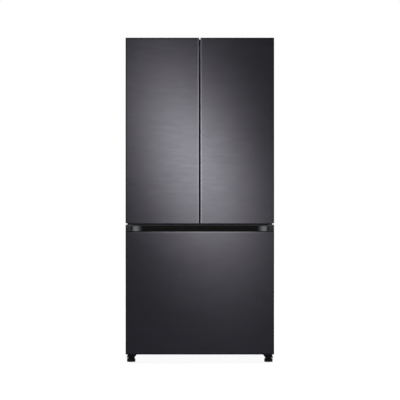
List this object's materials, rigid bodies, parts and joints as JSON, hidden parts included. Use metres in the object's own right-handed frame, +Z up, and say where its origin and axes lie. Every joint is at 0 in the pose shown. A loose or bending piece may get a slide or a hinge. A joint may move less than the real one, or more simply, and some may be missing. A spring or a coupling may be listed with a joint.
{
  "type": "french door refrigerator",
  "caption": "French door refrigerator: upper swing doors with a flip mullion, shelves, door bins and crispers, over a pull-out freezer drawer on slides.",
  "frame": {"origin": "on the floor under the middle of the appliance's overall width and depth", "axes": "+Z up, +Y from the doors to the rear, +X to the right seen from the front"},
  "size_m": [0.817, 0.715, 1.792],
  "materials": {
    "black_stainless": "fine horizontal brushing under a dark clear coat",
    "cabinet_paint": "fine textured dark grey",
    "zinc_sheet": "galvanised",
    "foam": "closed-cell foam",
    "liner_white": "smooth white",
    "trim_black": "fine grained black",
    "grip_black": "satin dark moulding",
    "gasket_grey": "soft magnetic seal",
    "clear_bin": "clear moulding",
    "shelf_glass": "toughened",
    "shelf_frame": "white moulding",
    "hinge_steel": "black painted",
    "rail_zinc": "zinc plated",
    "basket_white": "translucent white",
    "compressor_black": "gloss black",
    "coil_aluminium": "bare",
    "coil_black": "satin black",
    "mount_rubber": "black",
    "foot_black": "black",
    "roller_grey": "hard nylon",
    "lamp_lens": "diffusing",
    "fan_white": "moulded",
    "fan_black": "moulded",
    "inlet_black": "moulded"
  },
  "bodies": {
    "cabinet": {"cabinet_shell": "cabinet_paint", "back_panel": "zinc_sheet", "cabinet_foam": "foam", "fridge_liner": "liner_white", "freezer_liner": "liner_white", "divider_rail": "cabinet_paint", "top_cover": "trim_black", "base_frame": "zinc_sheet", "leg_brackets": "foot_black", "top_hinge_left": "hinge_steel", "top_hinge_right": "hinge_steel", "middle_hinge_left": "hinge_steel", "middle_hinge_right": "hinge_steel", "mullion_guide": "liner_white", "fridge_air_duct": "liner_white", "ceiling_light": "lamp_lens", "shelf_glass": "shelf_glass", "shelf_frames": "shelf_frame", "crisper_shelf_frame": "shelf_frame", "crisper_left": "clear_bin", "crisper_right": "clear_bin", "evaporator": "coil_aluminium", "evaporator_cover": "liner_white", "compressor": "compressor_black", "compressor_mounts": "mount_rubber", "condenser": "coil_black", "drain_pan": "fan_black", "condenser_fan_shroud": "fan_black", "machine_cover": "zinc_sheet", "power_inlet": "inlet_black", "cabinet_rails": "rail_zinc"},
    "left_door": {"left_door_panel": "black_stainless", "left_door_foam": "foam", "left_door_liner": "liner_white", "left_door_caps": "trim_black", "left_door_gasket": "gasket_grey", "left_door_bins": "clear_bin"},
    "right_door": {"right_door_panel": "black_stainless", "right_door_foam": "foam", "right_door_liner": "liner_white", "right_door_caps": "trim_black", "right_door_gasket": "gasket_grey", "right_door_bins": "clear_bin"},
    "mullion": {"mullion": "trim_black"},
    "freezer_drawer": {"freezer_panel": "black_stainless", "freezer_foam": "foam", "freezer_door_liner": "liner_white", "freezer_gasket": "gasket_grey", "grip_trough": "grip_black", "freezer_basket": "basket_white", "freezer_tray": "basket_white", "drawer_rails": "rail_zinc"},
    "rail_carriages": {"rail_carriages": "rail_zinc"},
    "evaporator_fan": {"evaporator_fan": "fan_white"},
    "condenser_fan": {"condenser_fan": "fan_black"},
    "roller_left": {"roller_left": "roller_grey"},
    "roller_right": {"roller_right": "roller_grey"},
    "foot_left": {"foot_left": "foot_black"},
    "foot_right": {"foot_right": "foot_black"}
  },
  "joints": [
    {"name": "left_door_hinge", "type": "hinge", "parent": "cabinet", "child": "left_door", "pos_m": [-0.3865, -0.3295, 1.2815], "axis": [0, 0, -1], "range_deg": [0, 120]},
    {"name": "right_door_hinge", "type": "hinge", "parent": "cabinet", "child": "right_door", "pos_m": [0.3865, -0.3295, 1.2815], "axis": [0, 0, 1], "range_deg": [0, 120]},
    {"name": "mullion_flip", "type": "hinge", "parent": "left_door", "child": "mullion", "pos_m": [-0.04, -0.2705, 1.2815], "axis": [0, 0, 1], "range_deg": [0, 90]},
    {"name": "freezer_slide", "type": "slide", "parent": "cabinet", "child": "freezer_drawer", "axis": [0, -1, 0], "range_m": [0, 0.42]},
    {"name": "carriage_slide", "type": "slide", "parent": "cabinet", "child": "rail_carriages", "axis": [0, -1, 0], "range_m": [0, 0.21]},
    {"name": "evaporator_fan_spin", "type": "hinge", "parent": "cabinet", "child": "evaporator_fan", "pos_m": [0, 0.2445, 0.644], "axis": [0, 1, 0], "continuous": true},
    {"name": "condenser_fan_spin", "type": "hinge", "parent": "cabinet", "child": "condenser_fan", "pos_m": [0.095, 0.2625, 0.143], "axis": [1, 0, 0], "continuous": true},
    {"name": "roller_left_spin", "type": "hinge", "parent": "cabinet", "child": "roller_left", "pos_m": [-0.3415, 0.2625, 0.021], "axis": [1, 0, 0], "continuous": true},
    {"name": "roller_right_spin", "type": "hinge", "parent": "cabinet", "child": "roller_right", "pos_m": [0.3415, 0.2625, 0.021], "axis": [1, 0, 0], "continuous": true},
    {"name": "foot_left_turn", "type": "hinge", "parent": "cabinet", "child": "foot_left", "pos_m": [-0.382, -0.2415, 0.023], "axis": [0, 0, 1], "continuous": true},
    {"name": "foot_right_turn", "type": "hinge", "parent": "cabinet", "child": "foot_right", "pos_m": [0.382, -0.2415, 0.023], "axis": [0, 0, 1], "continuous": true}
  ],
  "couplings": [
    {"joint": "carriage_slide", "follows": "freezer_slide", "ratio": 0.5}
  ]
}
